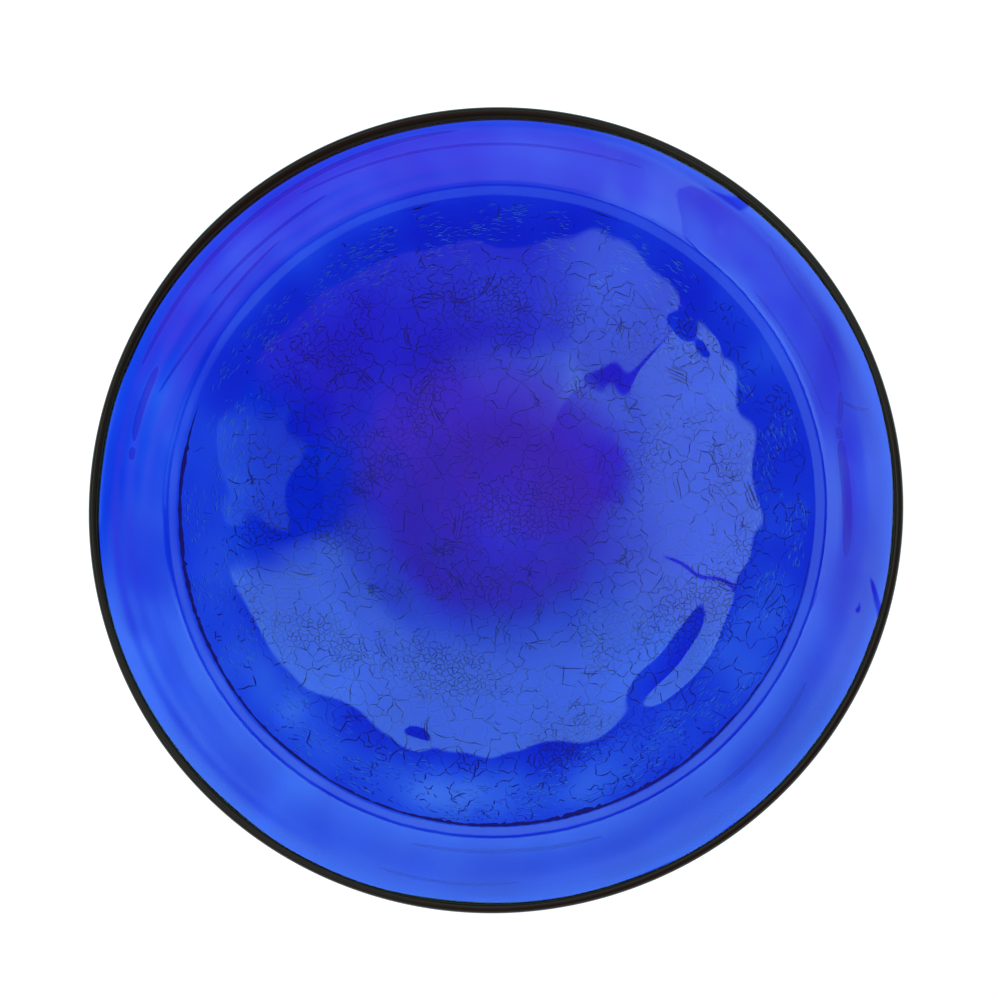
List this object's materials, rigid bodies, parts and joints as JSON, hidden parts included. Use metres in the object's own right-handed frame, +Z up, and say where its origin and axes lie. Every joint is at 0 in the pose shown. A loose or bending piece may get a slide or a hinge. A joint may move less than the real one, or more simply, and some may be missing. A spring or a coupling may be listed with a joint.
{
  "type": "bird bath bowl",
  "caption": "Round shallow basin of blue glass with a crackled well, a wide smooth flared rim and a thin black edge, on a small flat foot.",
  "frame": {"origin": "centre of the foot, on the surface that the bowl stands on", "axes": "+Z up along the bowl's axis, out of its mouth; +X and +Y across the rim, which is alike all the way round"},
  "size_m": [0.356, 0.356, 0.0557],
  "materials": {
    "cobalt_glass": "smooth, fire-polished, deep cobalt blue and translucent",
    "crackled_glass": "smooth to the touch, crackled within into cells 5 to 13 mm across",
    "black_glass": "glossy, opaque brownish black"
  },
  "bodies": {
    "root": {"glass_basin": "cobalt_glass", "crackle_lining": "crackled_glass", "lip_wrap": "black_glass"}
  },
  "joints": []
}
